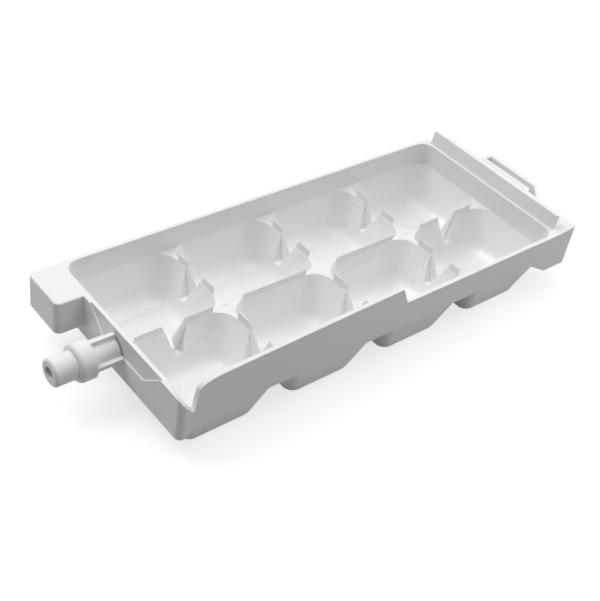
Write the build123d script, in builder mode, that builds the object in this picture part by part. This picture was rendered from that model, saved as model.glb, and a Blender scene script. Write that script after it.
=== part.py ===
from build123d import *
import math
import os

# One-piece moulded twist tray for ice, modelled as the named zones of the moulding.
# Millimetres, +Z up, +X along the tray from the drive spigot to the pull handle.
# Z = 0 is the plane of the rim, X = 0 the outer face of the spigot end wall, Y = 0 the middle.

# ---- driving dimensions ----
rows = 4  # rows of cups along the tray, two cups in each
tray_width = 100.0  # over the two side walls
side_wall = 2.2  # thickness of the side walls
end_wall = 3.0  # thickness of the spigot end wall
cavity_end = 228.0  # inner face of the handle end wall
row_pitch = 56.5  # from one cross web to the next
first_web = 58.5  # middle of the first cross web
web = 1.2  # thickness of the webs and of the blades on them
skin = 1.5  # moulded wall of a cup

deck_z = -12.2  # top of the pads and webs between the cups
deck_thickness = 1.8
cup_bottom_z = -35.9  # underside of the cups
cross_draft = 19.5  # degrees, cup walls along the cross webs
side_draft = 16.0  # degrees, cup walls along the sides and the middle web
inside_blend = 10.0  # cup corners and floor, blended alike inside, so that the ice slides out
outside_corners = (6.0, 13.0)  # upright corners outside, towards the spigot and the handle
outside_blend = 3.0  # and the edge of the underside

notch_y = (-25.4, 24.7)  # middle of the water notches in a cross web
notch_x = (30.5, 200.2)  # middle of those in the middle web, in the first and the last row
notch_z = -25.2  # floor of a water notch
notch_slant = (-6.8, 0.0)  # its slanting flank, at the blades' top and at the floor
notch_steep = (5.6, 2.4)  # its steep flank, at the deck and at the floor
notch_reach = 9.0  # half of the length over which it is cut
weir_lip = 0.6  # the web stands this far into the notch all round, as a thin weir
weir_turn = ((5.6, -9.5), (-0.4, -18.5), (1.6, notch_z))  # edge of the higher weir in the first row
blade_top_cross = -8.0  # top of the blades on the cross webs
blade_top_middle = -9.0  # top of the blades on the middle web
pad_reach = 9.6  # from a web crossing to where the blades start
first_pad_reach = 7.0  # the same along the middle web in the row at the spigot
gate_mark_radius = 1.4  # dimples of the moulding gates, on the first and third crossings
gate_mark_depth = 0.4

skirt_z = -14.5  # lower edge of the side walls
end_skirt_z = -22.3  # lower edge of the end walls
skirt_slope_length = 13.0  # where the side walls deepen towards the ends
inner_corner = 7.0  # rim corners inside
outer_corner = 4.0  # rim corners outside

high_wall_start = 7.2  # height of the raised side wall above the rim at the spigot end
high_wall_end = 9.6  # and at its drop, past the middle of the tray
high_wall_drop = 118.5  # where the raised wall ends
drop_run = 4.5  # length of the slanted drop
lip_x = (6.2, 7.2)  # lowest stretch of the pouring dip in the near corner
lip_slope = (1.25, 0.3)  # fall of the dip along the tray, and rise across it
lip_start = -0.5  # height of its slope at the outer corner

recess_depth = 0.9  # shallow recess in the spigot end wall
recess_z = -10.5
recess_top_y = (19.7, -35.0)  # where it starts at the rim
recess_low_y = (9.0, -22.5)  # its lower corners

block_length = 13.2  # stop block, out from the end wall
block_near_y = 24.8
block_height = 17.0
block_corner = 3.0
block_edge = 0.8

axis_z = -10.4  # drive axis, in the middle of the tray's width
nose_radius = 6.5
collar_radius = 8.9
spigot_tip_x = -30.2
collar_front_x = -19.7
collar_rounding = 2.2  # its front edge
spigot_chamfer = 0.9  # its back edge, and the tip of the nose
collar_back_x = -11.4
spigot_rib = 2.0
spigot_bore_radius = 3.1
spigot_bore_depth = 12.0

end_rim = 3.0  # thickness of the handle end wall
guard_height = 7.6  # splash guard above the rim
guard_thickness = 1.5
guard_lean = 1.5  # how far its top leans outwards
guard_y = (-44.8, 45.2)  # its near and far ends
shelf_end_x = 243.4  # outer face of the hollow shelf at the handle end
shelf_rise = 1.0  # its top climbs outwards by this much
shelf_far_y = 45.6  # it stops short of the far corner
shelf_shell = 2.0
shelf_corner = 2.4

handle_reach = 256.4  # outer face of the pull handle
handle_far_y = 22.3
handle_near_y = (-26.2, -10.5)  # the slanted leg, at its root and at its outer end
handle_top_z = -1.0
handle_height = 7.0
handle_wall = (3.3, 2.2)  # thickness of the outer bar and of the far leg
handle_bar_x = (246.7, 249.1)  # the inner bar, between the two slots
handle_bar_end_y = -13.4  # its rounded near end
handle_slot = (244.6, -11.2)  # the narrow slot starts here, in x and in y
handle_leg_y = (-22.6, -12.0)  # inner edge of the slanted leg, at its root and at the outer bar

half_width = tray_width / 2
inner_y = half_width - side_wall
cup_floor_z = cup_bottom_z + skin
web_x = [first_web + row_pitch * i for i in range(rows - 1)]
row_low = [end_wall] + [x + web / 2 for x in web_x]
row_high = [x + web / 2 for x in web_x] + [cavity_end]

os.makedirs("parts", exist_ok=True)


def save(part, name):
    part.label = name
    export_step(part, f"parts/{name}.step")


def cup_form(mouth, grow, floor_z, corners, blend):
    """One cup's drafted form from its mouth down to floor_z, grown outwards by the skin."""
    x0, x1, y0, y1 = mouth[0] - grow, mouth[1] + grow, mouth[2] - grow, mouth[3] + grow
    draw_x = (deck_z - floor_z) * math.tan(math.radians(cross_draft))
    draw_y = (deck_z - floor_z) * math.tan(math.radians(side_draft))
    with BuildPart() as form:
        with BuildSketch(Plane.XZ.offset(-y1)):
            with BuildLine():
                Polyline((x0, deck_z), (x1, deck_z), (x1 - draw_x, floor_z), (x0 + draw_x, floor_z), close=True)
            make_face()
        extrude(amount=y1 - y0)
        with BuildSketch(Plane.YZ.offset(x0)):
            with BuildLine():
                Polyline((y0, deck_z), (y1, deck_z), (y1 - draw_y, floor_z), (y0 + draw_y, floor_z), close=True)
            make_face()
        extrude(amount=x1 - x0, mode=Mode.INTERSECT)
        floor_edges = form.faces().sort_by(Axis.Z)[0].edges()
        upright = [e for e in form.edges() if deck_z - 1 > e.center().Z > floor_z + 1]
        near_spigot = [e for e in upright if e.center().X < (x0 + x1) / 2]
        near_handle = [e for e in upright if e.center().X > (x0 + x1) / 2]
        if corners == (blend, blend):
            fillet(upright + list(floor_edges), blend)
        else:
            fillet(near_spigot, corners[0])
            near_handle = [
                e
                for e in form.edges()
                if any((e.center() - old.center()).length < 0.01 for old in near_handle)
            ]
            fillet(near_handle, corners[1])
            fillet(form.faces().sort_by(Axis.Z)[0].edges(), blend)
    return form.part


def notch_profile(middle, grow, top_z, turns):
    """Half-open V of a water notch, as (across, z) points. turns is its steep flank at the web."""
    fall = (notch_slant[1] - notch_slant[0]) / (blade_top_cross - notch_z)
    slant_top = notch_slant[0] + fall * max(0, blade_top_cross - top_z)
    floor_z = notch_z - grow
    flank = [(across + grow, max(z, floor_z)) for across, z in turns]
    flank[-1] = (flank[-1][0], floor_z)
    outline = [
        (slant_top - grow, top_z),
        (slant_top - grow, min(blade_top_cross, top_z - 0.01)),
        (notch_slant[1] - grow, floor_z),
        *reversed(flank),
        (flank[0][0], top_z),
    ]
    return [(middle + across, z) for across, z in outline]


steep_flank = ((notch_steep[0], deck_z - 0.02), (notch_steep[1], notch_z))


def notch_form(centre, across_x, stretches):
    """A V-shaped water notch through a web, as prisms along it: (from, to, grow, top, steep flank)."""
    x, y = centre
    with BuildPart() as form:
        for start, end, grow, top_z, turns in stretches:
            plane = Plane.YZ.offset(x + start) if across_x else Plane.XZ.offset(-y - end)
            with BuildSketch(plane):
                with BuildLine():
                    Polyline(*notch_profile(y if across_x else x, grow, top_z, turns), close=True)
                make_face()
            extrude(amount=end - start)
    return form.part


def notch_channel(centre, across_x):
    """The moulded skin that carries a notch below the deck."""
    return notch_form(centre, across_x, [(-notch_reach, notch_reach, skin + weir_lip, deck_z, steep_flank)])


def notch_cut(centre, across_x):
    """What a notch takes out: the weir's opening in the web, and the wider way on either side."""
    first = not across_x and centre[0] < web_x[0]
    weir = weir_turn if first else steep_flank
    return notch_form(
        centre,
        across_x,
        [
            (-web / 2, web / 2, 0, 0, weir),
            (-notch_reach, -web / 2, weir_lip, 0, steep_flank),
            (web / 2, notch_reach, weir_lip, 0, steep_flank),
        ],
    )


# ---- the eight cups, each with its share of the deck and the blades that stand on it ----
gate_marks = (web_x[0], web_x[2])

for row in range(rows):
    x0, x1 = row_low[row], row_high[row]
    mouth_x1 = x1 - (0 if row == rows - 1 else web)
    for name, side in (("front", -1), ("back", 1)):
        # the middle web belongs to the back cup, the cross web to the cup before it
        y0, y1 = (-inner_y, -web / 2) if side < 0 else (-web / 2, inner_y)
        mouth = (x0, mouth_x1, *sorted((side * web / 2, side * inner_y)))
        notches = [((x, notch_y[side > 0]), True) for x in web_x[max(row - 1, 0) : row + 1]]
        if row in (0, rows - 1):
            notches.append(((notch_x[row > 0], 0), False))
        outside = cup_form(mouth, skin, cup_bottom_z, outside_corners, outside_blend)
        pocket = cup_form(mouth, 0, cup_floor_z, (inside_blend, inside_blend), inside_blend)

        with BuildPart() as cup:
            add(outside)
            with BuildSketch(Plane.XY.offset(deck_z - deck_thickness)):
                with Locations(((x0 + x1) / 2, (y0 + y1) / 2)):
                    Rectangle(x1 - x0, y1 - y0)
            extrude(amount=deck_thickness)
            for centre, across_x in notches:
                add(notch_channel(centre, across_x))
            if row < rows - 1:
                with BuildSketch(Plane.XY.offset(deck_z)):
                    with Locations((web_x[row], side * inner_y / 2)):
                        Rectangle(web, inner_y - 2 * pad_reach)
                extrude(amount=blade_top_cross - deck_z)
            if side > 0:
                start = x0 + first_pad_reach if row == 0 else web_x[row - 1] + pad_reach
                reach = first_pad_reach if row == 0 else pad_reach
                end = mouth_x1 - pad_reach if row == rows - 1 else web_x[row] - reach
                with BuildSketch(Plane.XY.offset(deck_z)):
                    with Locations(((start + end) / 2, 0)):
                        Rectangle(end - start, web)
                extrude(amount=blade_top_middle - deck_z)
            with BuildSketch(Plane.XY.offset(cup_bottom_z - 1)):
                with Locations(((x0 + x1) / 2, (y0 + y1) / 2)):
                    Rectangle(x1 - x0, y1 - y0)
            extrude(amount=-cup_bottom_z, mode=Mode.INTERSECT)
            add(pocket, mode=Mode.SUBTRACT)
            for centre, across_x in notches:
                add(notch_cut(centre, across_x), mode=Mode.SUBTRACT)
            with BuildSketch(Plane.XY.offset(deck_z)):
                with Locations(*[(x, 0) for x in gate_marks]):
                    Circle(gate_mark_radius)
            extrude(amount=-gate_mark_depth, mode=Mode.SUBTRACT)
        save(cup.part, f"cup_{name}_{row + 1}")


# ---- the walls round the deck ----
rim_end = cavity_end + end_rim
wall_split = (end_wall + inner_corner, cavity_end - inner_corner)  # the end walls include the corners
crest_z = high_wall_end + 4
side_low = [wall_split[0]] + row_low[1:]
side_high = row_high[:-1] + [wall_split[1]]


def wall_ring(z0, z1, corner):
    """The walls round the tray in plan, from z0 to z1, with the given inside corner radius."""
    with BuildPart() as ring:
        with BuildSketch(Plane.XY.offset(z0)):
            with BuildLine():
                Polyline(
                    (0, -half_width),
                    (rim_end, -half_width),
                    (rim_end, half_width),
                    (0, half_width),
                    close=True,
                )
            outline = make_face()
            fillet(outline.vertices().group_by(Axis.X)[0].sort_by(Axis.Y)[0], outer_corner - 1)
            far_end = [v for v in outline.vertices() if v.X > rim_end - 1 and v.Y > 0]
            fillet(far_end, outer_corner)
            with Locations(((end_wall + cavity_end) / 2, 0)):
                if corner > 0:
                    RectangleRounded(cavity_end - end_wall, 2 * inner_y, corner, mode=Mode.SUBTRACT)
                else:
                    Rectangle(cavity_end - end_wall, 2 * inner_y, mode=Mode.SUBTRACT)
        extrude(amount=z1 - z0)
    return ring.part


def side_elevation(near):
    """What a side wall keeps, seen from the side: the skirt below and, near, the raised wall."""
    skirt_turn = (end_wall + skirt_slope_length, cavity_end - 1 - skirt_slope_length)
    y0 = -half_width - 1 if near else 0
    with BuildPart() as keep:
        with BuildSketch(Plane.XZ.offset(-y0)):
            with BuildLine():
                if near:
                    Polyline((rim_end + 1, 0), (high_wall_drop + drop_run, 0), (high_wall_drop, high_wall_end))
                    Line((high_wall_drop, high_wall_end), (24, high_wall_start - 0.2))
                    Bezier((24, high_wall_start - 0.2), (15, 6.75), (9.6, 6), (8.4, 2.4))
                    Polyline((8.4, 2.4), (8.2, 0), (-1, 0))
                else:
                    Line((rim_end + 1, 0), (-1, 0))
                Polyline(
                    (-1, 0),
                    (-1, end_skirt_z),
                    (end_wall, end_skirt_z),
                    (skirt_turn[0], skirt_z),
                    (skirt_turn[1], skirt_z),
                    (cavity_end - 1, end_skirt_z),
                    (rim_end + 1, end_skirt_z),
                    (rim_end + 1, 0),
                )
            make_face()
        extrude(amount=-(half_width + 1))
    return keep.part


def pouring_dip():
    """What the near corner of the rim loses: a slope down to the lip, under the raised wall's start."""
    with BuildPart() as dip:
        for y in (-half_width - 1, -33):
            start = lip_start + lip_slope[1] * (y + half_width)
            low = start - lip_slope[0] * lip_x[0]
            with BuildSketch(Plane.XZ.offset(-y)):
                with BuildLine():
                    Polyline(
                        (-1, crest_z),
                        (-1, start + lip_slope[0]),
                        (lip_x[0], low),
                        (lip_x[1], low),
                        (8.4, 2.4),
                        (8.4, crest_z),
                        close=True,
                    )
                make_face()
        loft(ruled=True)
    return dip.part


upper_ring = wall_ring(deck_z, crest_z, inner_corner)
lower_ring = wall_ring(end_skirt_z, deck_z, 0)
near_side = side_elevation(True)
far_side = side_elevation(False)
dip = pouring_dip()

with BuildPart() as both_sides:
    add(near_side)
    add(far_side)


def wall_piece(x0, x1, y0, y1):
    """The stretch of the walls inside a rectangle of the plan."""
    with BuildPart() as piece:
        add(upper_ring)
        add(lower_ring)
        with BuildSketch(Plane.XY.offset(end_skirt_z - 1)):
            with Locations(((x0 + x1) / 2, (y0 + y1) / 2)):
                Rectangle(x1 - x0, y1 - y0)
        extrude(amount=crest_z - end_skirt_z + 2, mode=Mode.INTERSECT)
    return piece.part


for row in range(rows):
    for name, keep, y0, y1 in (
        ("front", near_side, -half_width - 1, -inner_y),
        ("back", far_side, inner_y, half_width + 1),
    ):
        with BuildPart() as side_piece:
            add(wall_piece(side_low[row], side_high[row], y0, y1))
            add(keep, mode=Mode.INTERSECT)
        save(side_piece.part, f"side_wall_{name}_{row + 1}")

# spigot end wall, with its two corners, the shallow recess outside and the pouring dip
with BuildPart() as end_wall_left:
    add(wall_piece(-1, wall_split[0], -half_width - 1, half_width + 1))
    add(both_sides.part, mode=Mode.INTERSECT)
    with BuildSketch(Plane.YZ):
        with BuildLine():
            Polyline(
                (recess_top_y[0], 1),
                (recess_top_y[0], 0),
                (recess_low_y[0], recess_z),
                (recess_low_y[1], recess_z),
                (recess_top_y[1], 0),
                (recess_top_y[1], 1),
                close=True,
            )
        make_face()
    extrude(amount=recess_depth, mode=Mode.SUBTRACT)
    add(dip, mode=Mode.SUBTRACT)
save(end_wall_left.part, "end_wall_left")

# handle end wall, with its two corners
with BuildPart() as end_wall_right:
    add(wall_piece(wall_split[1], rim_end + 1, -half_width - 1, half_width + 1))
    add(both_sides.part, mode=Mode.INTERSECT)
    with BuildSketch(Plane.XY.offset(end_skirt_z - 1)):
        with Locations((cavity_end + end_rim, 0)):
            Rectangle(2 * end_rim + 1, 2 * inner_y)
    extrude(amount=deck_z - deck_thickness - end_skirt_z + 1, mode=Mode.SUBTRACT)
save(end_wall_right.part, "end_wall_right")

# ---- stop block at the far corner of the spigot end ----
with BuildPart() as stop_block:
    with BuildSketch(Plane.XY.offset(-block_height)):
        with Locations((-block_length / 2, (block_near_y + half_width) / 2)):
            Rectangle(block_length, half_width - block_near_y)
    extrude(amount=block_height)
    fillet(stop_block.edges().filter_by(Axis.Z).group_by(Axis.X)[0], block_corner)
    top_edges = stop_block.faces().sort_by(Axis.Z)[-1].edges()
    fillet(top_edges.filter_by(lambda edge: edge.center().X < -0.1), block_edge)
save(stop_block.part, "stop_block")

# ---- drive spigot: ribbed neck, collar and hollow nose ----
with BuildPart() as pivot_spigot:
    with BuildSketch(Plane.XZ):
        with BuildLine():
            Polyline(
                (0, axis_z),
                (spigot_tip_x, axis_z),
                (spigot_tip_x, axis_z + nose_radius),
                (collar_front_x, axis_z + nose_radius),
                (collar_front_x, axis_z + collar_radius),
                (collar_back_x, axis_z + collar_radius),
                (collar_back_x, axis_z + nose_radius),
                (0, axis_z + nose_radius),
                close=True,
            )
        make_face()
    revolve(axis=Axis((0, 0, axis_z), (1, 0, 0)))
    tip_edge = pivot_spigot.edges().filter_by(GeomType.CIRCLE).sort_by(Axis.X)[0]
    collar_edges = pivot_spigot.edges().filter_by(
        lambda edge: edge.geom_type == GeomType.CIRCLE and abs(edge.radius - collar_radius) < 0.01
    )
    fillet(collar_edges.sort_by(Axis.X)[0], collar_rounding)
    chamfer([tip_edge, collar_edges.sort_by(Axis.X)[-1]], spigot_chamfer)
    with BuildSketch(Plane.YZ):
        with Locations((0, axis_z)):
            Rectangle(spigot_rib, 2 * collar_radius - 0.4)
            Rectangle(2 * collar_radius - 0.4, spigot_rib)
    extrude(amount=collar_back_x - 1)
    with BuildSketch(Plane.YZ.offset(spigot_tip_x)):
        with Locations((0, axis_z)):
            Circle(spigot_bore_radius)
    extrude(amount=spigot_bore_depth, mode=Mode.SUBTRACT)
save(pivot_spigot.part, "pivot_spigot")

# ---- splash guard on the handle end wall, leaning outwards ----
with BuildPart() as splash_guard:
    with BuildSketch(Plane.XZ.offset(-guard_y[1])):
        with BuildLine():
            Polyline(
                (rim_end - guard_thickness, 0),
                (rim_end, 0),
                (rim_end + guard_lean, guard_height),
                (rim_end - guard_thickness + guard_lean, guard_height),
                close=True,
            )
        make_face()
    extrude(amount=guard_y[1] - guard_y[0])
save(splash_guard.part, "splash_guard")

# ---- hollow shelf behind it, open below ----
with BuildPart() as end_shelf:
    with BuildSketch(Plane.XZ.offset(-shelf_far_y)):
        with BuildLine():
            Polyline(
                (rim_end, end_skirt_z),
                (shelf_end_x, end_skirt_z),
                (shelf_end_x, shelf_rise),
                (rim_end, 0),
                close=True,
            )
        make_face()
    extrude(amount=shelf_far_y + half_width)
    fillet(end_shelf.edges().filter_by(Axis.Z).group_by(Axis.X)[-1], shelf_corner)
    with BuildSketch(Plane.XZ.offset(-shelf_far_y + shelf_shell)):
        with BuildLine():
            Polyline(
                (rim_end, end_skirt_z),
                (shelf_end_x - shelf_shell, end_skirt_z),
                (shelf_end_x - shelf_shell, shelf_rise - shelf_shell),
                (rim_end, -shelf_shell),
                close=True,
            )
        make_face()
    extrude(amount=shelf_far_y + half_width - 2 * shelf_shell, mode=Mode.SUBTRACT)
save(end_shelf.part, "end_shelf")

# ---- pull handle: a slotted loop on the shelf's outer wall ----
with BuildPart() as pull_handle:
    with BuildSketch(Plane.XY.offset(handle_top_z - handle_height)):
        with BuildLine():
            Polyline(
                (shelf_end_x, handle_near_y[0]),
                (handle_reach, handle_near_y[1]),
                (handle_reach, handle_far_y),
                (shelf_end_x, handle_far_y),
                close=True,
            )
        make_face()
        gap_x = handle_reach - handle_wall[0]
        gap_y = handle_far_y - handle_wall[1]
        with BuildLine():
            Polyline(
                (handle_bar_x[1], gap_y),
                (gap_x, gap_y),
                (gap_x, handle_leg_y[1]),
                (shelf_end_x, handle_leg_y[0]),
                (shelf_end_x, handle_bar_end_y),
                (handle_bar_x[1], handle_bar_end_y),
                close=True,
            )
        make_face(mode=Mode.SUBTRACT)
        with Locations(((handle_slot[0] + handle_bar_x[0]) / 2, (handle_slot[1] + gap_y) / 2)):
            Rectangle(handle_bar_x[0] - handle_slot[0], gap_y - handle_slot[1], mode=Mode.SUBTRACT)
    extrude(amount=handle_height)
    upright = pull_handle.edges().filter_by(Axis.Z)
    fillet(upright.group_by(Axis.X)[-1], 2.2)
    bar_end = pull_handle.edges().filter_by(Axis.Z).filter_by(
        lambda edge: abs(edge.center().X - handle_bar_x[1]) < 0.01
        and abs(edge.center().Y - handle_bar_end_y) < 0.01
    )
    fillet(bar_end, 2.0)
save(pull_handle.part, "pull_handle")
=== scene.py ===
import bpy
import bmesh
import math
from mathutils import Euler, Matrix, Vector
from mathutils.bvhtree import BVHTree


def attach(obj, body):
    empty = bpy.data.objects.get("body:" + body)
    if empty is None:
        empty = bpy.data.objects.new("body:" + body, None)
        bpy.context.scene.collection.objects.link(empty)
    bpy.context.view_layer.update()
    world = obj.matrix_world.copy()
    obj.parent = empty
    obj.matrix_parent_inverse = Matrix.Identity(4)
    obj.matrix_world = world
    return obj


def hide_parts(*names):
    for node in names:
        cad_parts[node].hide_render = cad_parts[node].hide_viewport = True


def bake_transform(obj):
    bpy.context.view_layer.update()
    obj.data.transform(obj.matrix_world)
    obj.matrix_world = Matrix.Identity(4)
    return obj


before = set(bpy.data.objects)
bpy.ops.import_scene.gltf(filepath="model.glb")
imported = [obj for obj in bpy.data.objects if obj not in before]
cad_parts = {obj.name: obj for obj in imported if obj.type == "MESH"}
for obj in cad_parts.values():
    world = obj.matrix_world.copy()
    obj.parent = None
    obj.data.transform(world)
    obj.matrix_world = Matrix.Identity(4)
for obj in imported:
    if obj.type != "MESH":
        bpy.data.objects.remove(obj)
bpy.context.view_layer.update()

MM = 0.001

# ---- driving sizes of the tray, in metres, as in the part's source ----
# x runs along the tray from the outer face of the spigot end wall, y across it, and z up from the rim
END_WALL = 3.0 * MM  # thickness of the spigot end wall
CAVITY_END = 228.0 * MM  # inner face of the handle end wall
FIRST_WEB_X = 58.5 * MM  # middle of the first cross web
ROW_PITCH = 56.5 * MM  # from one cross web to the next
CROSS_WEBS = 3
WEB = 1.2 * MM  # thickness of the webs and of the blades on them
CUP_Y = 24 * MM  # middle of the front and the back cups
CUP_SIDE_Y = 47.6 * MM  # just inside the inner faces of the side walls
DECK_Z = -12.2 * MM  # top of the pads and webs between the cups
BLADE_TOP_Z = -8.0 * MM
CUP_BOTTOM_Z = -35.9 * MM  # underside of the cups
TRAY_MIDDLE_X = 0.11  # near enough, for the lamps and the floor

WEB_X = [FIRST_WEB_X + ROW_PITCH * web for web in range(CROSS_WEBS)]
ROW_LOW = [END_WALL] + [web_x + WEB / 2 for web_x in WEB_X]
ROW_HIGH = ROW_LOW[1:] + [CAVITY_END]

# the skin is parted here, near the middle of each row, where the section is the same on both sides
PARTING_X = (32.5 * MM, 86.9 * MM, 143.4 * MM, 201.9 * MM)
PAST_THE_ENDS = 1.0  # further out than either end of the tray

# ---- what the scene adds to the form of the solids ----
EDGE_ROUNDING = 0.25 * MM  # what the mould leaves on every outer edge
ROUNDED_FROM = math.radians(40)  # edges that turn by more than this are rounded
BLADE_LEDGE = 0.32 * MM  # the blades stand back this far from the edge of the cups, on either side
CROSS_LEDGE = 34 * MM  # length of the ledges on a cross web, in front and at the back
PADS = 12 * MM  # what the pads take from the length of the ledges on the middle web

# ---- joining and rounding ----
SAME_CORNER = 0.001 * MM  # corners of one zone that lie this close are one
SAME_JOINED_CORNER = 0.004 * MM  # and corners of the joined moulding
FLAT_WITHIN = math.radians(0.5)
ROUNDING_TRIES = 8
ROUNDING_STRAY = 0.6  # how far a rounded corner may lie from the true form, as a share of the rounding
TURNED_OVER = 0.1  # cosine from the true form's normal, under which a rounded face is turned over
SMALLEST_FACE = 1e-10  # square metres; smaller faces have no sure normal
LEFT_SHARP_AT_ONCE = 2  # edges left sharp for each place that went astray
NEVER_ZERO = 1e-18  # square metres; keeps a division by a squared length from failing

# ---- shading: how much two faces have to turn for a crease between them ----
CREASE_FROM = math.radians(30)
ROUNDED_CREASE_FROM = math.radians(62)  # where one of them is a rounded edge
BROAD_CREASE_FROM = math.radians(8)  # where both are broad
BROAD_FACE = 1.8 * MM  # area over longest edge of a broad face
EVEN_SHADING_WEIGHT = 50

# ---- slices across the moulding, a few millimetres apart ----
SLICES = 45
SLICE_PITCH = 5.0 * MM
SLICE_ASIDE = 0.4 * MM  # keeps the slices off the faces of the webs
ON_THE_PLANE = 0.001 * MM
AT_THE_CUT = 0.002 * MM


# ---- finishes ----
FLOW_CLOUDS = (14, 34, 34)  # clouds in a metre, along the tray, across it and upwards
PLASTIC_IOR = 1.49
TONE_DRIFT = 0.02
COAT_ROUGHNESS = 0.12
GRAIN_STRENGTH = 0.35


def socket(tree, name, kind, in_out, default=None, low=None, high=None):
    made = tree.interface.new_socket(name=name, in_out=in_out, socket_type=kind)
    if default is not None:
        made.default_value = default
    if low is not None:
        made.min_value = low
        made.max_value = high


def build_mould_satin():
    """The mould's fine satin: a soft grain for the bump, and slow drifts in tone and gloss."""
    tree = bpy.data.node_groups.new("mould_satin", "ShaderNodeTree")
    socket(tree, "Tone", "NodeSocketColor", "INPUT", (0.8, 0.8, 0.8, 1))
    socket(tree, "Tone Drift", "NodeSocketFloat", "INPUT", 0.02, 0, 1)
    socket(tree, "Roughness", "NodeSocketFloat", "INPUT", 0.35, 0, 1)
    socket(tree, "Roughness Drift", "NodeSocketFloat", "INPUT", 0.08, 0, 1)
    socket(tree, "Grain Size", "NodeSocketFloat", "INPUT", 0.0004, 0, 1)
    socket(tree, "Color", "NodeSocketColor", "OUTPUT")
    socket(tree, "Roughness", "NodeSocketFloat", "OUTPUT")
    socket(tree, "Height", "NodeSocketFloat", "OUTPUT")
    nodes, links = tree.nodes, tree.links
    given = nodes.new("NodeGroupInput")
    made = nodes.new("NodeGroupOutput")
    place = nodes.new("ShaderNodeTexCoord")

    # flow of the melt along the tray: long, faint clouds
    stretch = nodes.new("ShaderNodeMapping")
    stretch.inputs["Scale"].default_value = FLOW_CLOUDS
    links.new(place.outputs["Object"], stretch.inputs["Vector"])
    flow = nodes.new("ShaderNodeTexNoise")
    flow.inputs["Scale"].default_value = 1.0
    flow.inputs["Detail"].default_value = 3.0
    flow.inputs["Roughness"].default_value = 0.55
    links.new(stretch.outputs["Vector"], flow.inputs["Vector"])

    # the same clouds as a drift to either side, from -0.5 to 0.5
    drift = nodes.new("ShaderNodeMapRange")
    drift.inputs["From Min"].default_value = 0.3
    drift.inputs["From Max"].default_value = 0.7
    drift.inputs["To Min"].default_value = -0.5
    drift.inputs["To Max"].default_value = 0.5
    links.new(flow.outputs["Fac"], drift.inputs["Value"])

    tone_step = nodes.new("ShaderNodeMath")
    tone_step.operation = "MULTIPLY_ADD"
    tone_step.inputs[2].default_value = 1.0
    links.new(drift.outputs["Result"], tone_step.inputs[0])
    links.new(given.outputs["Tone Drift"], tone_step.inputs[1])
    toned = nodes.new("ShaderNodeVectorMath")
    toned.operation = "SCALE"
    links.new(given.outputs["Tone"], toned.inputs[0])
    links.new(tone_step.outputs["Value"], toned.inputs["Scale"])
    links.new(toned.outputs["Vector"], made.inputs["Color"])

    rough = nodes.new("ShaderNodeMath")
    rough.operation = "MULTIPLY_ADD"
    rough.use_clamp = True
    links.new(drift.outputs["Result"], rough.inputs[0])
    links.new(given.outputs["Roughness Drift"], rough.inputs[1])
    links.new(given.outputs["Roughness"], rough.inputs[2])
    links.new(rough.outputs["Value"], made.inputs["Roughness"])

    # grain, in sizes of a fraction of a millimetre
    count = nodes.new("ShaderNodeMath")
    count.operation = "DIVIDE"
    count.inputs[0].default_value = 1.0
    links.new(given.outputs["Grain Size"], count.inputs[1])
    grain = nodes.new("ShaderNodeTexNoise")
    grain.inputs["Detail"].default_value = 2.0
    links.new(place.outputs["Object"], grain.inputs["Vector"])
    links.new(count.outputs["Value"], grain.inputs["Scale"])
    links.new(grain.outputs["Fac"], made.inputs["Height"])
    return tree


def plastic(name, satin, tone, roughness, roughness_drift, grain_size, grain_height, sheen_coat):
    """White moulded plastic. The grain's size and height are in metres."""
    made = bpy.data.materials.new(name)
    made.use_nodes = True
    nodes, links = made.node_tree.nodes, made.node_tree.links
    shader = nodes["Principled BSDF"]
    shader.inputs["IOR"].default_value = PLASTIC_IOR
    shader.inputs["Specular IOR Level"].default_value = 0.5
    shader.inputs["Coat Weight"].default_value = sheen_coat
    shader.inputs["Coat Roughness"].default_value = COAT_ROUGHNESS
    effect = nodes.new("ShaderNodeGroup")
    effect.node_tree = satin
    effect.inputs["Tone"].default_value = (tone, tone, tone, 1)
    effect.inputs["Tone Drift"].default_value = TONE_DRIFT
    effect.inputs["Roughness"].default_value = roughness
    effect.inputs["Roughness Drift"].default_value = roughness_drift
    effect.inputs["Grain Size"].default_value = grain_size
    links.new(effect.outputs["Color"], shader.inputs["Base Color"])
    links.new(effect.outputs["Roughness"], shader.inputs["Roughness"])
    grain = nodes.new("ShaderNodeBump")
    grain.inputs["Strength"].default_value = GRAIN_STRENGTH
    grain.inputs["Distance"].default_value = grain_height
    links.new(effect.outputs["Height"], grain.inputs["Height"])
    links.new(grain.outputs["Normal"], shader.inputs["Normal"])
    return made


mould_satin = build_mould_satin()
outer_white = plastic(
    "outer_white", mould_satin, tone=0.805, roughness=0.38, roughness_drift=0.10,
    grain_size=0.5 * MM, grain_height=0.03 * MM, sheen_coat=0.0,
)
cup_white = plastic(
    "cup_white", mould_satin, tone=0.825, roughness=0.26, roughness_drift=0.08,
    grain_size=0.7 * MM, grain_height=0.02 * MM, sheen_coat=0.15,
)
OUTER_WHITE, CUP_WHITE = 0, 1  # their places in the list of each skin's materials


# ---- the moulding ----
def put_in_scene(name, data):
    made = bpy.data.objects.new(name, data)
    bpy.context.scene.collection.objects.link(made)
    return made


def as_mesh(name, form):
    """The form as a mesh. The form itself is given up."""
    mesh = bpy.data.meshes.new(name)
    form.to_mesh(mesh)
    form.free()
    return mesh


def with_modifiers(piece):
    return bpy.data.meshes.new_from_object(piece.evaluated_get(bpy.context.evaluated_depsgraph_get()))


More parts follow.
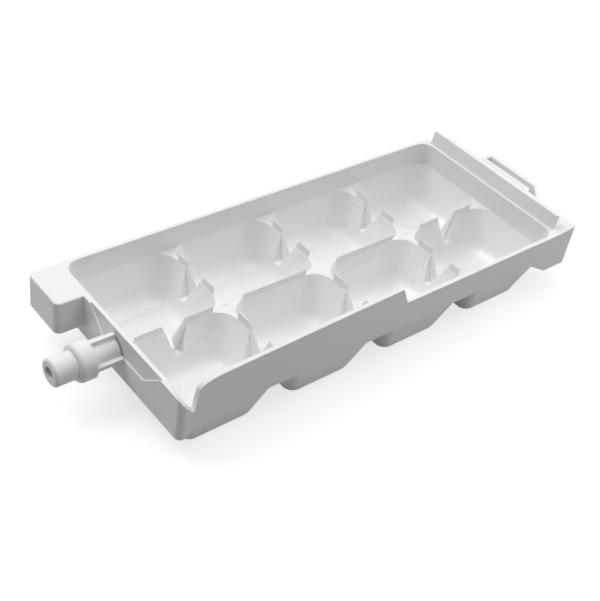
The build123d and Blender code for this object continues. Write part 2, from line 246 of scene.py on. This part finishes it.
def blade_relief():
    """Thin slabs along both sides of the blades, to be taken off them down to the deck."""
    stretches = []
    for web_x in WEB_X:
        for cup_y in (-CUP_Y, CUP_Y):
            stretches.append(((web_x, cup_y), (0, CROSS_LEDGE)))
    for low, high in zip(ROW_LOW, ROW_HIGH):
        stretches.append((((low + high) / 2, 0), (high - low - PADS, 0)))
    thick = 2 * BLADE_LEDGE
    tall = 2 * (BLADE_TOP_Z - DECK_Z)
    slabs = bmesh.new()
    for (x, y), (long_x, long_y) in stretches:
        for side in (-1, 1):
            off = side * WEB / 2
            slab = bmesh.ops.create_cube(slabs, size=1.0)["verts"]
            bmesh.ops.scale(slabs, verts=slab, vec=(long_x or thick, long_y or thick, tall))
            place = (x + (0 if long_x else off), y + (0 if long_y else off), DECK_Z + tall / 2)
            bmesh.ops.translate(slabs, verts=slab, vec=place)
    return put_in_scene("blade_relief", as_mesh("blade_relief", slabs))


def whole_moulding():
    """The tray's zones joined into the one moulding that they are, as a bmesh."""
    zones = []
    for name in sorted(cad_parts):
        zone = put_in_scene("zone_" + name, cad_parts[name].data.copy())
        cleaned = bmesh.new()
        cleaned.from_mesh(zone.data)
        bmesh.ops.remove_doubles(cleaned, verts=cleaned.verts, dist=SAME_CORNER)
        cleaned.to_mesh(zone.data)
        cleaned.free()
        zones.append(zone)
    base = zones[0]
    zones.append(blade_relief())
    for zone in zones[1:]:
        join = base.modifiers.new(zone.name, "BOOLEAN")
        join.operation = "DIFFERENCE" if zone.name == "blade_relief" else "UNION"
        join.solver = "MANIFOLD"
        join.object = zone
    joined = with_modifiers(base)
    moulding = bmesh.new()
    moulding.from_mesh(joined)
    for zone in zones:
        bpy.data.objects.remove(zone)
    bpy.data.meshes.remove(joined)
    bmesh.ops.remove_doubles(moulding, verts=moulding.verts, dist=SAME_JOINED_CORNER)
    bmesh.ops.dissolve_limit(
        moulding, angle_limit=FLAT_WITHIN, verts=moulding.verts, edges=moulding.edges,
        use_dissolve_boundaries=False,
    )
    return moulding


def to_be_rounded(moulding, left_sharp):
    return [
        edge for edge in moulding.edges
        if edge.index not in left_sharp and edge.is_convex and edge.calc_face_angle(0) > ROUNDED_FROM
    ]


def gap_to_edge(point, edge):
    start, run = edge.verts[0].co, edge.verts[1].co - edge.verts[0].co
    along = (point - start).dot(run) / max(run.length_squared, NEVER_ZERO)
    return (start + run * min(max(along, 0), 1) - point).length


def places_astray(softened, rounded_faces, true_form):
    """Where the rounding leaves the true form, or turns a face over."""
    astray = []
    for vert in softened.verts:
        _, _, _, gap = true_form.find_nearest(vert.co)
        if gap > ROUNDING_STRAY * EDGE_ROUNDING:
            astray.append(vert.co.copy())
    for face in rounded_faces:
        middle = face.calc_center_median()
        _, true_normal, _, _ = true_form.find_nearest(middle)
        if face.calc_area() > SMALLEST_FACE and true_normal.dot(face.normal) < TURNED_OVER:
            astray.append(middle)
    return astray


def soften_edges(moulding):
    """The moulding with its outer edges rounded. Edges too tightly packed to be rounded stay sharp."""
    true_form = BVHTree.FromBMesh(moulding)
    left_sharp = set()
    for _ in range(ROUNDING_TRIES):
        softened = moulding.copy()
        softened.edges.ensure_lookup_table()
        rounded = bmesh.ops.bevel(
            softened, geom=to_be_rounded(softened, left_sharp), offset=EDGE_ROUNDING, offset_type="OFFSET",
            segments=2, profile=0.5, affect="EDGES", clamp_overlap=False, loop_slide=True,
        )
        softened.normal_update()
        astray = places_astray(softened, rounded["faces"], true_form)
        if not astray:
            for face in rounded["faces"]:
                face.tag = True
            return softened
        softened.free()
        for point in astray:
            nearby = sorted(to_be_rounded(moulding, left_sharp), key=lambda edge: gap_to_edge(point, edge))
            left_sharp.update(edge.index for edge in nearby[:LEFT_SHARP_AT_ONCE])
    return moulding.copy()


def slice_across(moulding, x):
    bmesh.ops.bisect_plane(
        moulding, geom=moulding.verts[:] + moulding.edges[:] + moulding.faces[:],
        dist=ON_THE_PLANE, plane_co=(x, 0, 0), plane_no=(1, 0, 0),
    )


def in_a_cup(face):
    """Whether a face is part of a cup's inside: under the deck, and looking up or to the cup's middle."""
    middle, normal = face.calc_center_median(), face.normal
    under_deck = DECK_Z - 0.1 * MM
    above_underside = CUP_BOTTOM_Z + 1.0 * MM
    if not above_underside <= middle.z <= under_deck or abs(middle.y) > CUP_SIDE_Y:
        return False
    looks_down = normal.z < -0.1
    if looks_down:
        return False
    for low, high in zip(ROW_LOW, ROW_HIGH):
        if low < middle.x < high:
            cup_middle = Vector(((low + high) / 2, math.copysign(CUP_Y, middle.y), middle.z))
            looks_up = normal.z > 0.4
            return looks_up or (cup_middle - middle).dot(normal) > 0
    return False


def dressed_moulding():
    """The moulding with its edges rounded, sliced across, and with its finishes and creases set."""
    sharp_moulding = whole_moulding()
    moulding = soften_edges(sharp_moulding)
    sharp_moulding.free()
    rounded_faces = moulding.faces.layers.int.new("rounded")
    broad_faces = moulding.faces.layers.int.new("broad")
    for face in moulding.faces:
        face[rounded_faces] = 1 if face.tag else 0
        longest = max(edge.calc_length() for edge in face.edges)
        face[broad_faces] = 1 if face.calc_area() / longest > BROAD_FACE else 0
    for step in range(SLICES):
        slice_across(moulding, (step + 1) * SLICE_PITCH + SLICE_ASIDE)
    for x in PARTING_X:
        slice_across(moulding, x)
    moulding.normal_update()
    for face in moulding.faces:
        face.smooth = True
        face.material_index = CUP_WHITE if in_a_cup(face) else OUTER_WHITE
    for edge in moulding.edges:
        crease_from = CREASE_FROM
        if any(face[rounded_faces] for face in edge.link_faces):
            crease_from = ROUNDED_CREASE_FROM
        elif all(face[broad_faces] for face in edge.link_faces):
            crease_from = BROAD_CREASE_FROM
        edge.smooth = edge.calc_face_angle(0) < crease_from
    return moulding


def close_end(part, x, facing):
    """A cut face across the plastic at a parting plane."""
    rim = [
        edge for edge in part.edges
        if edge.is_boundary and all(abs(vert.co.x - x) < AT_THE_CUT for vert in edge.verts)
    ]
    if not rim:
        return
    filled = bmesh.ops.triangle_fill(part, use_beauty=True, use_dissolve=False, edges=rim)
    for face in filled["geom"]:
        if isinstance(face, bmesh.types.BMFace):
            if face.normal.x * facing < 0:
                face.normal_flip()
            for edge in face.edges:
                edge.smooth = False


def skin_piece(name, moulding, x0, x1):
    """The stretch of the moulding between two parting planes."""
    part = moulding.copy()
    outside = [face for face in part.faces if not x0 <= face.calc_center_median().x <= x1]
    bmesh.ops.delete(part, geom=outside, context="FACES")
    close_end(part, x0, -1)
    close_end(part, x1, 1)
    mesh = as_mesh(name, part)
    mesh.materials.append(outer_white)
    mesh.materials.append(cup_white)
    piece = put_in_scene(name, mesh)
    # flat faces keep their own normals, and only the rounded edges turn between them
    even = piece.modifiers.new("even_shading", "WEIGHTED_NORMAL")
    even.mode = "FACE_AREA"
    even.weight = EVEN_SHADING_WEIGHT
    even.keep_sharp = True
    shaded = with_modifiers(piece)
    piece.modifiers.clear()
    piece.data = shaded
    shaded.name = name
    bpy.data.meshes.remove(mesh)
    return piece


moulding = dressed_moulding()
limits = (-PAST_THE_ENDS,) + PARTING_X + (PAST_THE_ENDS,)
names = ("skin_spigot_end", "skin_rows_1_2", "skin_rows_2_3", "skin_rows_3_4", "skin_handle_end")
skins = [skin_piece(name, moulding, limits[i], limits[i + 1]) for i, name in enumerate(names)]
moulding.free()

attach(skins[0], "row_1")
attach(skins[4], "row_4")
for i in range(3):
    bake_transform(skins[i + 1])


def nodes_of(*rows):
    """The cups and side walls of these rows."""
    return [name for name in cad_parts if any(name.endswith(f"_{row}") for row in rows)]


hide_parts(*nodes_of(1), "end_wall_left", "stop_block", "pivot_spigot")
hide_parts(*nodes_of(1, 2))
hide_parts(*nodes_of(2, 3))
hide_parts(*nodes_of(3, 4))
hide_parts(*nodes_of(4), "end_wall_right", "splash_guard", "end_shelf", "pull_handle")


# ---- floor, light and camera ----
FLOOR_MIDDLE = (TRAY_MIDDLE_X, 0, CUP_BOTTOM_Z - 0.1 * MM)
FLOOR_HALF = 6.0
FLOOR_TONE = 0.4
FLOOR_LIFT = (0.72, 1.0)  # near the tray, and far from it
FLOOR_LIFT_REACH = (0.3, 0.9)  # distances from the middle at which it starts and stops to grow
LAMPS_AIM = (TRAY_MIDDLE_X, 0, -0.01)

# the camera that was fitted to the photo
CAMERA_SENSOR = 36.0
CAMERA_LENS = 65.1091
CAMERA_PLACE = (-0.1829335, -0.2856121, 0.3067528)
CAMERA_TURN = (0.8723603, -0.1365239, -0.6754365)
CAMERA_REACH = (0.01, 20.0)


def seen_directly(nodes, links):
    """1 for what the camera sees, straight or mirrored in the plastic, and 0 for what lights the tray."""
    path = nodes.new("ShaderNodeLightPath")
    mirrored = nodes.new("ShaderNodeMath")
    mirrored.operation = "ADD"
    links.new(path.outputs["Is Glossy Ray"], mirrored.inputs[0])
    links.new(path.outputs["Is Transmission Ray"], mirrored.inputs[1])
    seen = nodes.new("ShaderNodeMath")
    seen.operation = "ADD"
    seen.use_clamp = True
    links.new(path.outputs["Is Camera Ray"], seen.inputs[0])
    links.new(mirrored.outputs["Value"], seen.inputs[1])
    return seen.outputs["Value"]


def stage_floor():
    """A pale floor under the cups, lifted to white where it is seen, and dimmed where the tray shades it."""
    sheet = bmesh.new()
    bmesh.ops.create_grid(sheet, x_segments=1, y_segments=1, size=FLOOR_HALF)
    bmesh.ops.translate(sheet, verts=sheet.verts, vec=FLOOR_MIDDLE)
    floor = put_in_scene("floor", as_mesh("floor", sheet))
    paint = bpy.data.materials.new("floor_white")
    paint.use_nodes = True
    nodes, links = paint.node_tree.nodes, paint.node_tree.links
    shader = nodes["Principled BSDF"]
    shader.inputs["Base Color"].default_value = (FLOOR_TONE, FLOOR_TONE, FLOOR_TONE, 1)
    shader.inputs["Roughness"].default_value = 0.9
    shader.inputs["Specular IOR Level"].default_value = 0.1
    shader.inputs["Emission Color"].default_value = (1, 1, 1, 1)
    # the lamps light only the middle of the floor, so its far parts are lifted more
    place = nodes.new("ShaderNodeTexCoord")
    reach = nodes.new("ShaderNodeVectorMath")
    reach.operation = "DISTANCE"
    reach.inputs[1].default_value = FLOOR_MIDDLE
    links.new(place.outputs["Object"], reach.inputs[0])
    far = nodes.new("ShaderNodeMapRange")
    far.inputs["From Min"].default_value, far.inputs["From Max"].default_value = FLOOR_LIFT_REACH
    far.inputs["To Min"].default_value, far.inputs["To Max"].default_value = FLOOR_LIFT
    links.new(reach.outputs["Value"], far.inputs["Value"])
    lift = nodes.new("ShaderNodeMath")
    lift.operation = "MULTIPLY"
    links.new(seen_directly(nodes, links), lift.inputs[0])
    links.new(far.outputs["Result"], lift.inputs[1])
    links.new(lift.outputs["Value"], shader.inputs["Emission Strength"])
    floor.data.materials.append(paint)


def white_surround():
    """White where it is seen. The light on the tray comes from the lamps."""
    world = bpy.data.worlds.new("studio")
    bpy.context.scene.world = world
    world.use_nodes = True
    nodes, links = world.node_tree.nodes, world.node_tree.links
    background = nodes["Background"]
    background.inputs["Color"].default_value = (1, 1, 1, 1)
    links.new(seen_directly(nodes, links), background.inputs["Strength"])


def soft_light(name, place, size, power):
    """A rectangular lamp that looks at the tray. Its place and size are in metres, its power in watts."""
    lamp = bpy.data.lights.new(name, "AREA")
    lamp.shape = "RECTANGLE"
    lamp.size, lamp.size_y = size
    lamp.energy = power
    holder = put_in_scene(name, lamp)
    holder.location = place
    holder.rotation_euler = (Vector(LAMPS_AIM) - Vector(place)).to_track_quat("-Z", "Y").to_euler()


def photo_camera():
    lens = bpy.data.cameras.new("camera")
    lens.sensor_fit = "HORIZONTAL"
    lens.sensor_width = CAMERA_SENSOR
    lens.lens = CAMERA_LENS
    lens.clip_start, lens.clip_end = CAMERA_REACH
    camera = put_in_scene("camera", lens)
    camera.location = CAMERA_PLACE
    camera.rotation_euler = Euler(CAMERA_TURN, "XYZ")
    bpy.context.scene.camera = camera


stage_floor()
white_surround()
soft_light("overhead", place=(TRAY_MIDDLE_X, 0, 0.75), size=(0.9, 0.9), power=3.7)
soft_light("over_spigot_end", place=(-0.45, 0.5, 0.95), size=(0.7, 0.7), power=5.8)
soft_light("behind", place=(TRAY_MIDDLE_X, 0.75, 0.45), size=(0.8, 0.6), power=1.7)
soft_light("handle_end", place=(0.95, 0, 0.45), size=(0.6, 0.8), power=3.5)
soft_light("front_fill", place=(0.4, -0.7, 0.45), size=(0.7, 0.6), power=1.3)
photo_camera()
bpy.context.scene.view_settings.view_transform = "Standard"
